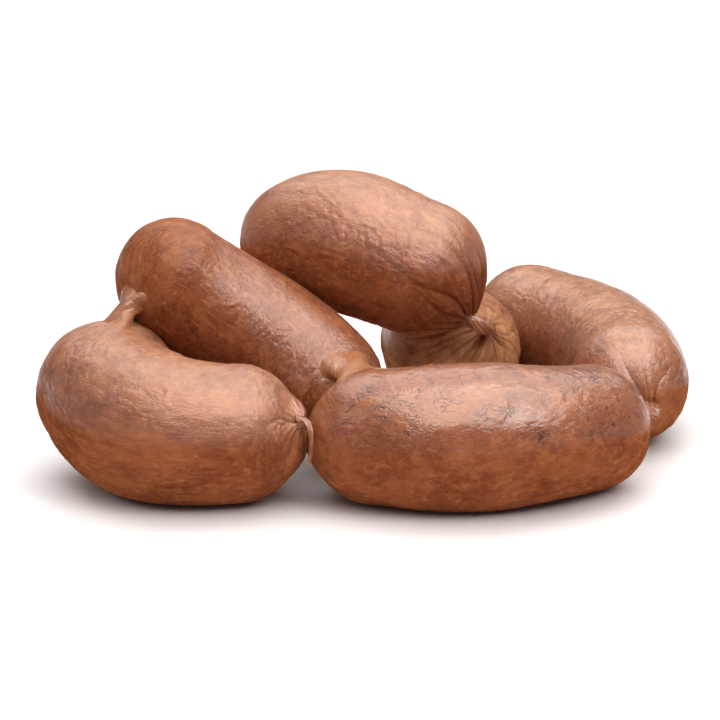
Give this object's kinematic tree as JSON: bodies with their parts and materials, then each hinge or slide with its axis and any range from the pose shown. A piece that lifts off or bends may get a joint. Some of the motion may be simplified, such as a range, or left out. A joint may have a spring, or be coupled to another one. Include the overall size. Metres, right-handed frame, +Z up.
{
  "type": "string of sausage links",
  "caption": "Loose heap of plump brown sausage links, joined end to end by short twists of their casing.",
  "frame": {"origin": "middle of the heap seen from above, on the surface that it lies on", "axes": "+Z up, -Y towards the front with the two long front links, +X to the right"},
  "size_m": [0.1745, 0.1559, 0.073],
  "materials": {
    "sausage": "cooked sausage in natural casing, mottled reddish brown, moist and softly glossy",
    "casing": "gathered natural casing, pale tan, moist and softly glossy"
  },
  "bodies": {
    "root": {"link_front_left": "sausage", "link_leaning": "sausage", "link_front_right": "sausage", "link_right": "sausage", "link_under": "sausage", "link_top": "sausage", "twist_left": "casing", "twist_middle": "casing", "twist_right": "casing", "twist_back": "casing", "twist_top": "casing", "tail_front": "casing", "tail_back": "casing"}
  },
  "joints": []
}
